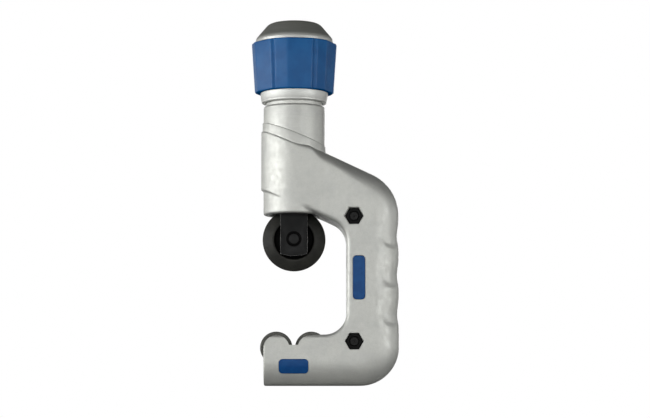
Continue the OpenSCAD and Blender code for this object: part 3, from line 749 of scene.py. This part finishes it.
def all_stations():
    """From the barrel round the spine to the lower arm's end."""
    arm, fan, spine, foot = 12, 44, 110, 14
    return ([arm_station(HUB_TOP_X * i / arm) for i in range(arm)]
            + [top_station(90 - 90 * i / fan) for i in range(fan + 1)]
            + [spine_station(mix(HUB_TOP_Z, HUB_LOW_Z, i / spine)) for i in range(1, spine)]
            + [low_station(-90 * i / fan) for i in range(fan + 1)]
            + [foot_station(mix(HUB_LOW_X, -END_X, i / foot)) for i in range(1, foot + 1)])


def ramp(a, start, length):
    """From 0 at an angle's start to 1 after its length, eased."""
    return ease(min(1, max(0, (a - start) / length)))


def scallop(z, side):
    """Depth of the finger scallops: a long way in and a short way out, steeper at the side."""
    n = (FINGER_LOW + FINGER_COUNT * FINGER_PITCH - z) / FINGER_PITCH
    if n < 0 or n > FINGER_COUNT:
        return 0
    p = n - math.floor(n)
    share = mix(DIP_SHARE, SIDE_DIP_SHARE, side)
    if p < share:
        return math.sin(math.pi / 2 * p / share) ** mix(3, 4, side)
    return math.sin(math.pi / 2 * (1 - p) / (1 - share)) ** mix(3, 1.3, side)


def section(station):
    """Ring of points round the arm at a station, with the scallops pressed into the spine."""
    x, z, dx, dz, depth, rounding, half, land = station
    edge_steps, round_steps = 6, 24
    side = []
    for i in range(edge_steps + 1):
        a = math.pi / 2 * i / edge_steps
        side.append((EDGE_R * (1 - math.cos(a)), half - EDGE_R * (1 - math.sin(a))))
    for i in range(round_steps + 1):
        a = math.pi / 2 * i / round_steps
        d = depth - rounding * (1 - math.sin(a))
        flank = ramp(a, *FLANK_IN) * (1 - ramp(a, *FLANK_OUT))
        dip = scallop(z + dz * d - FINGER_CLIMB * math.cos(a), flank) * max(0, dx)
        back_in = dip * mix(FINGER_DEPTH * math.sin(a) ** 2, SIDE_DEPTH, flank)
        side.append((d - back_in * math.sin(a), land + (half - land) * math.cos(a) - back_in * math.cos(a)))
    back = [(d, -y) for d, y in reversed(side)]
    return [(x + dx * d, y, z + dz * d) for d, y in side + back]


def cover_outline(grow):
    return round_rect(COVER_X, (COVER_LOW + COVER_HIGH) / 2, COVER_W, COVER_HIGH - COVER_LOW,
                      COVER_CORNER, grow)


def inlay_outline(grow):
    return round_rect(INLAY_X, INLAY_Z, INLAY_W, INLAY_H, INLAY_CORNER, grow)


def arm_inlay_outline(grow):
    return round_rect(0, ARM_INLAY_Z, ARM_INLAY_W, ARM_INLAY_H, INLAY_CORNER, grow)


def near_line(x, z, height, reach):
    """Share from 1 on a line that falls with the arm to 0 at its reach."""
    return 1 - np.abs(z - height + SLOPE_LINE * x) / reach


def near_underside(x, y, z):
    return (z > 87) * (x > -7) * (x < 16) * near_line(x, z, 91, 7)


def near_crest(x, y, z):
    return (x > 1) * (x < 20) * near_line(x, z, 117, 8)


def make_casting():
    """Swept arm, sleeve and skirt in one skin, smoothed where the arm meets the sleeve."""
    sweep = loft("sweep", [section(s) for s in all_stations()])
    sleeve = slanted("sleeve", ARM_HALF, ARM_LOW - SLEEVE_DROP, SLOPE, SLEEVE_EDGE, SLOPE, SLEEVE_ROUND)
    skirt = turned("skirt", [(0, BARREL_LOW), (SKIRT_R - RIM, BARREL_LOW)]
                   + arc(SKIRT_R - RIM, BARREL_LOW + RIM, RIM, -90, 0, 5)
                   + [(SKIRT_R, SKIRT_TOP), (0, SKIRT_TOP)])
    skirt.data.transform(Matrix.Scale(SKIRT_FRONT / SKIRT_R, 4, (0, 1, 0)))
    body = remesh(joined("casting", [sweep, sleeve, skirt]), CAST_VOXEL)
    relax(body, 3)
    relax(body, 16, near_underside)
    relax(body, 14, near_crest)
    return body


def make_barrel():
    edge = BARREL_R - BARREL_ROUND
    profile = [(0, BARREL_FOOT), (BARREL_R, BARREL_FOOT), (BARREL_R, BARREL_TOP - BARREL_ROUND)]
    profile += arc(edge, BARREL_TOP - BARREL_ROUND, BARREL_ROUND, 0, 90, 6)[1:]
    profile += [(NECK_R, BARREL_TOP), (NECK_R, NECK_TOP - NECK_EDGE), (NECK_R - NECK_EDGE, NECK_TOP)]
    return turned("barrel", profile + [(0, NECK_TOP)])


def make_bores():
    """Bore of the carrier, hole of the bush, and slot of the rollers."""
    over = OVER / 2
    bore = turned("bore", [(0, BARREL_LOW - over), (BORE_R + BORE_FLARE, BARREL_LOW - over),
                           (BORE_R, BARREL_LOW + BORE_FLARE - over), (BORE_R, BORE_TOP),
                           (BUSH_HOLE_R, BORE_TOP), (BUSH_HOLE_R, NECK_TOP + over), (0, NECK_TOP + over)])
    half = ROLLER_LEN / 2 + SIDE_GAP
    slot = prism("slot", [(-END_X - OVER, ROLLER_Z - SLOT_R)] + arc(ROLLER_X, ROLLER_Z, SLOT_R, -90, 0, 16)
                 + [(ROLLER_X + SLOT_R, LOW_ARM + OVER), (-END_X - OVER, LOW_ARM + OVER)], -half, half)
    return joined("bores", [bore, slot])


def make_cheeks():
    """What is cut away round the two humps over the roller pins."""
    rise = math.degrees(math.asin((VALLEY_Z - HUMP_Z) / HUMP_R))
    outline = [(-END_X - OVER, HUMP_Z)] + arc(-HUMP_X, HUMP_Z, HUMP_R, 180, rise, 24)
    outline += arc(HUMP_X, HUMP_Z, HUMP_R, 180 - rise, 90, 16)
    outline += [(CHEEK_END, LOW_ARM), (CHEEK_END + 0.4, LOW_ARM + OVER), (-END_X - OVER, LOW_ARM + OVER)]
    return prism("cheeks", outline, -THROUGH, THROUGH)


def make_pockets():
    """Recess of the cover, hole of the guide pin, and pockets of nuts and inlays."""
    recess = prism("recess", cover_outline(TRIM_GAP), COVER_IN - SEAT_GAP, OUTSIDE)
    guide = prism("guide_hole", circle(0, GUIDE_Z, GUIDE_R, 24), 5, OUTSIDE)
    nuts = [front_pocket("nut_pocket", lambda grow, z=z: hexagon(SCREW_X, z, NUT_R + grow), NUT_FLOOR)
            for z in SCREW_ZS]
    inlay = front_pocket("inlay_pocket", lambda grow: inlay_outline(grow + 0.03), INLAY_FLOOR)
    arm_inlay = prism("arm_inlay_pocket", arm_inlay_outline(0.12), -SPINE_HALF - 1, ARM_INLAY_FLOOR)
    return [recess, guide] + nuts + [inlay, arm_inlay]


def make_holes():
    holes = [prism("screw_hole", circle(SCREW_X, z, SCREW_HOLE_R), -THROUGH, THROUGH) for z in SCREW_ZS]
    holes += [prism("pin_hole", circle(side * ROLLER_X, ROLLER_Z, PIN_R + SEAT_GAP), PIN_FLOOR, THROUGH)
              for side in (-1, 1)]
    return joined("holes", holes)


def make_frame():
    """Casting and rear cover, which is cut from the same skin."""
    body = make_casting()
    cover = carve(twin(body, "cover_plate"), prism("cover_space", cover_outline(0), COVER_IN, OUTSIDE),
                  "INTERSECT")
    barrel = make_barrel()
    carve(body, slanted("band", BAND_R, BAND_FOOT, SLOPE, BAND_TOP, BAND_SLOPE, BAND_ROUND), "UNION")
    carve(body, barrel, "UNION")
    carve(body, make_bores())
    carve(body, joined("sinks", [make_cheeks()] + make_pockets()))
    carve(body, make_holes())
    shown(body, "frame", CAST)

    face = SPINE_HALF + 0.05
    profile = [(0, 5), (SCREW_HOLE_R, 5), (SCREW_HOLE_R, face - 2.35), (SINK_R, face), (SINK_R, OUTSIDE),
               (0, OUTSIDE)]
    sinks = [turned("sink", profile, 64, "Y", (SCREW_X, 0, z)) for z in SCREW_ZS]
    carve(cover, joined("sinks", sinks))
    shown(cover, "rear_cover", CAST)


# Knob
def on_chord(degrees, start, start_r, end, end_r):
    """Radius of a straight facet from one corner to the next, at an angle between them."""
    a, b, t = (math.radians(v) for v in (start, end, degrees))
    return start_r * end_r * math.sin(b - a) / (start_r * math.sin(t - a) + end_r * math.sin(b - t))


def lobe(degrees, radius):
    """Radius of the grip: each lobe has two flat facets that meet in a ridge, with a groove at its sides."""
    turn = (degrees + LOBE_EDGE) % (2 * LOBE_EDGE) - LOBE_EDGE
    if turn < RIDGE_TURN:
        r = on_chord(turn, -LOBE_EDGE, 1, RIDGE_TURN, RIDGE_SHARE)
    else:
        r = on_chord(turn, RIDGE_TURN, RIDGE_SHARE, LOBE_EDGE, 1)
    p = abs(turn) / LOBE_EDGE
    groove = ease((p - 1 + GROOVE_SHARE) / GROOVE_SHARE) if p > 1 - GROOVE_SHARE else 0
    return radius * r - GROOVE * groove


def make_grip():
    """Conical shell with facets on the outside and a round bore, its edges rounded."""
    sides = 360
    steps = 5
    turns = [math.pi / 2 * i / steps for i in range(steps + 1)]
    levels = [(GRIP_LOW + GRIP_EDGE * (1 - math.cos(a)), GRIP_EDGE * (math.sin(a) - 1)) for a in turns]
    levels += [(GRIP_TOP - GRIP_EDGE * (1 - math.sin(a)), GRIP_EDGE * (math.cos(a) - 1)) for a in turns]
    rings = []
    for z, inset in levels:
        cone = mix(GRIP_LOW_R, GRIP_TOP_R, (z - GRIP_LOW) / GRIP_H)
        ring = []
        for i in range(sides):
            a = math.tau * i / sides
            r = sum(lobe(360 * (i + k) / sides, cone) for k in (-1, 0, 1)) / 3 + inset
            ring.append((r * math.sin(a), -r * math.cos(a), z))
        rings.append(ring)
    inner = CORE_R + SEAT_GAP
    for z in (GRIP_TOP, GRIP_LOW):
        rings.append([(inner * math.sin(math.tau * i / sides), -inner * math.cos(math.tau * i / sides), z)
                      for i in range(sides)])
    shown(loft("grip_shell", rings, wrap=True), "knob_grip", GRIP)


def make_cap():
    """Dome with rounded shoulder and crown, its middle sunk a little, on a spigot in the core's well."""
    x0, z0 = DOME_R - SHOULDER_R, GRIP_TOP + SHOULDER_H
    z1 = GRIP_TOP + DOME_H - CROWN_R
    lean = math.radians(DOME_SIDE)
    x1 = x0 - ((z1 - z0) * math.sin(lean) + CROWN_R - SHOULDER_R) / math.cos(lean)
    crown = arc(x1, z1, CROWN_R, DOME_SIDE, 90, 14)
    rim_x, rim_z = crown[-1]
    top = [(rim_x * (1 - i / 6), rim_z + CROWN_SINK * math.sin(math.pi / 2 * i / 6)) for i in range(1, 6)]
    seat = GRIP_TOP + SEAT_GAP
    spigot_r = WELL_R - SEAT_GAP
    profile = [(0, GRIP_TOP - SPIGOT), (spigot_r, GRIP_TOP - SPIGOT), (spigot_r, seat)]
    profile += [(DOME_R - DOME_EDGE, seat), (DOME_R, GRIP_TOP + DOME_EDGE)]
    profile += arc(x0, z0, SHOULDER_R, 0, DOME_SIDE, 14) + crown + top
    profile.append((0, GRIP_TOP + DOME_H + CROWN_SINK))
    sunk_from = GRIP_TOP + DOME_H - CROWN_LIP
    cap = turned("cap_dome", [(r, z - CROWN_SINK * (z > sunk_from)) for r, z in profile])
    shown(cap, "knob_cap", DOME, 25)


def make_core():
    """Collar round the barrel's neck, and the core that carries grip and cap."""
    z = COLLAR_LOW
    floor = NECK_TOP + SIDE_GAP
    inner = NECK_R + SIDE_GAP
    top = GRIP_TOP - SIDE_GAP
    profile = [(inner, floor), (inner, z + SIDE_GAP), (inner + SIDE_GAP, z)]
    profile += arc(COLLAR_LOW_R - LIP_ROUND, z + LIP_ROUND, LIP_ROUND, -90, 0, 6)
    profile += [(COLLAR_LOW_R, z + LIP_H), (COLLAR_LOW_R + 0.12, z + LIP_H + 0.25),
                (COLLAR_TOP_R, GRIP_LOW - LIP_H), (COLLAR_TOP_R, GRIP_LOW + LIP_H),
                (CORE_R, GRIP_LOW + LIP_H), (CORE_R, top), (WELL_R, top), (WELL_R, HUB_TOP),
                (DRIVE_HOLE_R, HUB_TOP), (DRIVE_HOLE_R, floor)]
    shown(turned("core_collar", profile), "knob_core", TURNED, 25)


# Wheel and rollers
def make_wheel():
    """Disc with hub, web and rim, from half its profile: radius and half width, from the bush outward."""
    half = [(4.67, 2.3), (6.6, 2.3), (6.9, 2.0), (6.9, 0.9), (8.9, 0.9), (9.35, 1.1), (9.95, 1.95),
            (10.25, 2.1), (10.85, 2.1), (11.1, 2.0), (15.55, 0.22), (WHEEL_R, 0.1)]
    profile = [(r, -h) for r, h in half] + [(r, h) for r, h in reversed(half)]
    shown(turned("wheel_disc", profile, 192, "Y", (0, 0, WHEEL_Z)), "cutting_wheel", WHEEL, 25)


def make_rollers():
    """Two drums, each with a groove for a tube's flare near its rear end."""
    r = ROLLER_R
    half = ROLLER_LEN / 2
    bore = PIN_R + 0.05
    profile = [(bore, half), (r - 0.55, half), (r - 0.1, 6.6), (r, 6.3), (r, 5.45), (r - 0.15, 5.3),
               (r - 1.1, 4.6), (r - 1.1, 3.8), (r - 0.15, 3.1), (r, 2.95), (r, -6.3), (r - 0.1, -6.6),
               (r - 0.55, -half), (bore, -half)]
    for side, node in ((-1, "roller_left"), (1, "roller_right")):
        piece = turned(node + "_drum", profile, 128, "Y", (side * ROLLER_X, 0, ROLLER_Z))
        shown(piece, node, ROLLER, 25)


# Screws, nuts and inlays
def make_screws():
    """Countersunk screws with a hexagonal recess in the head and a dimple in the tip."""
    cone = 11.85
    tip_edge = 0.6
    profile = [(0, SCREW_TIP), (SCREW_R - tip_edge, SCREW_TIP), (SCREW_R, SCREW_TIP + tip_edge),
               (SCREW_R, cone), (HEAD_R, cone + HEAD_R - SCREW_R), (HEAD_R, HEAD_FACE), (0, HEAD_FACE)]
    parts = [turned("screw", profile, 64, "Y", (SCREW_X, 0, z)) for z in SCREW_ZS]
    screws = joined("cover_screw_pair", parts)
    dimple = [(0, SCREW_TIP - 0.5), (0.9, SCREW_TIP - 0.5), (0.35, SCREW_TIP + 0.3), (0, SCREW_TIP + 0.3)]
    recesses = [prism("recess", hexagon(SCREW_X, z, 1.75), 11.9, SPINE_HALF + 1) for z in SCREW_ZS]
    recesses += [turned("dimple", dimple, 32, "Y", (SCREW_X, 0, z)) for z in SCREW_ZS]
    carve(screws, joined("recesses", recesses))
    shown(screws, "cover_screws", SCREW)


def skin_y(z):
    """Front face of the lower arm at a height."""
    t = max(0, 1 - z / BASE_ROUND)
    return -(BASE_LAND + (SPINE_HALF - BASE_LAND) * math.sqrt(1 - t * t))


def make_inlays():
    """Upright inlay, and level inlay that follows the arm's face down to a crease and leans in below."""
    strip = prism("spine_inlay_strip", inlay_outline(0), -SPINE_HALF - INLAY_PROUD, INLAY_FLOOR - SEAT_GAP)
    shown(relax(remesh(strip, 0.16), 4), "spine_inlay", INLAY, 60)

    crease = ARM_INLAY_Z - 0.2
    lean = 0.14
    steps = 24
    span = ARM_INLAY_H + OVER
    heights = [ARM_INLAY_Z - span / 2 + span * i / steps for i in range(steps + 1)]
    front = [(skin_y(z) - INLAY_PROUD + lean * max(0, crease - z), z) for z in heights]
    floor = ARM_INLAY_FLOOR - SEAT_GAP
    outline = front + [(floor, heights[-1]), (floor, heights[0])]
    bar = loft("bar", [[(x, y, z) for y, z in outline] for x in (-ARM_INLAY_BAR, ARM_INLAY_BAR)])
    block = prism("arm_inlay_block", arm_inlay_outline(0), -THROUGH, ARM_INLAY_FLOOR + 1)
    carve(block, bar, "INTERSECT")
    shown(relax(remesh(block, 0.13), 3), "arm_inlay", INLAY, 60)


make_frame()
make_grip()
make_cap()
make_core()
make_wheel()
make_rollers()
make_screws()
make_inlays()
dressed("wheel_carrier", "carrier_fork", 0.4, FORK)
dressed("wheel_axle", "axle_pin", 0.12, FORK)
dressed("cover_nuts", "cover_nut_pair", 0.15, NUT)

# CAD nodes that stay as they are
KEPT = {
    "barrel_bush": BRONZE, "thrust_washer": STEEL, "guide_pin": STEEL, "roller_pin_left": STEEL,
    "roller_pin_right": STEEL, "axle_clip": STEEL, "wheel_bush": BRONZE, "spindle": STEEL,
    "knob_washer": STEEL, "knob_nut": STEEL,
}
for name, material in KEPT.items():
    mesh = nodes[name].data
    mesh.materials.clear()
    mesh.materials.append(material)


# Floor, world, lights and camera, in metres
FLOOR_HALF = 1.6
FLOOR_DROP = 0.0002
FLOOR_TONE = (0.52, 0.52, 0.52, 1)
WHITE = (1, 1, 1, 1)
GLOW_NEAR = 0.55
GLOW_FROM = 0.15
GLOW_TO = 0.6
ROOM_LIGHT = 0.07
AIM = Vector((0.015, 0, 0.09))
EYE = (0.01545, -1.0932, -0.025)
EYE_RISE = 5.907
FOCAL_PX = 2197
PHOTO_W = 650
SENSOR = 36


def make_floor():
    """Pale floor, whiter for the camera with the distance; from below it can be looked through."""
    mesh = bpy.data.meshes.new("floor")
    half = FLOOR_HALF
    corners = [(-half, -half, 0), (half, -half, 0), (half, half, 0), (-half, half, 0)]
    mesh.from_pydata(corners, [], [(0, 1, 2, 3)])
    floor = bpy.data.objects.new("floor", mesh)
    scene.collection.objects.link(floor)
    floor.location.z = -FLOOR_DROP
    material = bpy.data.materials.new("floor_pale")
    material.use_nodes = True
    tree = material.node_tree
    bsdf = tree.nodes["Principled BSDF"]
    bsdf.inputs["Base Color"].default_value = FLOOR_TONE
    bsdf.inputs["Roughness"].default_value = 0.9
    bsdf.inputs["Emission Color"].default_value = WHITE
    g = Graph(tree, "Object")
    x, y, z = g.axes()
    far = g.range(g.radius(x, y), GLOW_FROM, GLOW_TO, GLOW_NEAR, 1.0)
    glow = g.math("MULTIPLY", g.node("LightPath").outputs["Is Camera Ray"], far)
    g.link(glow, bsdf.inputs["Emission Strength"])
    clear = tree.nodes.new("ShaderNodeBsdfTransparent")
    mixer = tree.nodes.new("ShaderNodeMixShader")
    geometry = tree.nodes.new("ShaderNodeNewGeometry")
    tree.links.new(geometry.outputs["Backfacing"], mixer.inputs[0])
    tree.links.new(bsdf.outputs[0], mixer.inputs[1])
    tree.links.new(clear.outputs[0], mixer.inputs[2])
    tree.links.new(mixer.outputs[0], tree.nodes["Material Output"].inputs["Surface"])
    mesh.materials.append(material)


def make_world():
    """White for the camera, and for mirrored rays that leave straight to the rear near the horizon."""
    world = bpy.data.worlds.new("studio")
    scene.world = world
    world.use_nodes = True
    g = Graph(world.node_tree, "Generated")
    background = g.tree.nodes["Background"]
    background.inputs["Color"].default_value = WHITE
    path = g.node("LightPath").outputs
    x, y, z = g.axes()
    height = g.math("ABSOLUTE", z)
    screen = g.math("MULTIPLY", g.range(y, 0.75, 0.97), g.range(height, 0.1, 0.35, 1.0, 0.0))
    mirrored = g.math("MAXIMUM", path["Is Glossy Ray"], path["Is Transmission Ray"])
    seen = g.math("MAXIMUM", path["Is Camera Ray"], g.math("MULTIPLY", mirrored, screen))
    g.link(g.range(seen, 0, 1, ROOM_LIGHT, 1.0, False), background.inputs["Strength"])


def soft_light(name, place, width, height, power):
    data = bpy.data.lights.new(name, "AREA")
    data.shape = "RECTANGLE"
    data.size, data.size_y, data.energy = width, height, power
    lamp = bpy.data.objects.new(name, data)
    lamp.location = place
    lamp.rotation_euler = (AIM - Vector(place)).to_track_quat("-Z", "Y").to_euler()
    scene.collection.objects.link(lamp)


make_floor()
make_world()
soft_light("key", (-1.2, -0.55, 0.2), 1.9, 0.5, 19.5)
soft_light("fill", (1.0, -0.85, 0.11), 1.2, 0.4, 9.5)
soft_light("front", (-0.1, -1.4, 0.2), 0.9, 0.4, 3.7)
soft_light("rear", (0.1, 1.4, 0.22), 0.6, 0.4, 6)
soft_light("rear_left", (-1.15, 0.8, 0.2), 0.5, 0.4, 1.6)
soft_light("rear_right", (0.4, 1.35, 0.2), 0.4, 0.4, 1.6)
soft_light("side_right", (1.3, 0.4, 0.2), 0.5, 0.4, 1.5)

camera = bpy.data.cameras.new("camera")
camera.sensor_width = SENSOR
camera.lens = FOCAL_PX / PHOTO_W * SENSOR
eye = bpy.data.objects.new("camera", camera)
eye.location = EYE
eye.rotation_euler = (math.radians(90 + EYE_RISE), 0, 0)
scene.collection.objects.link(eye)
scene.camera = eye
scene.view_settings.view_transform = "Standard"
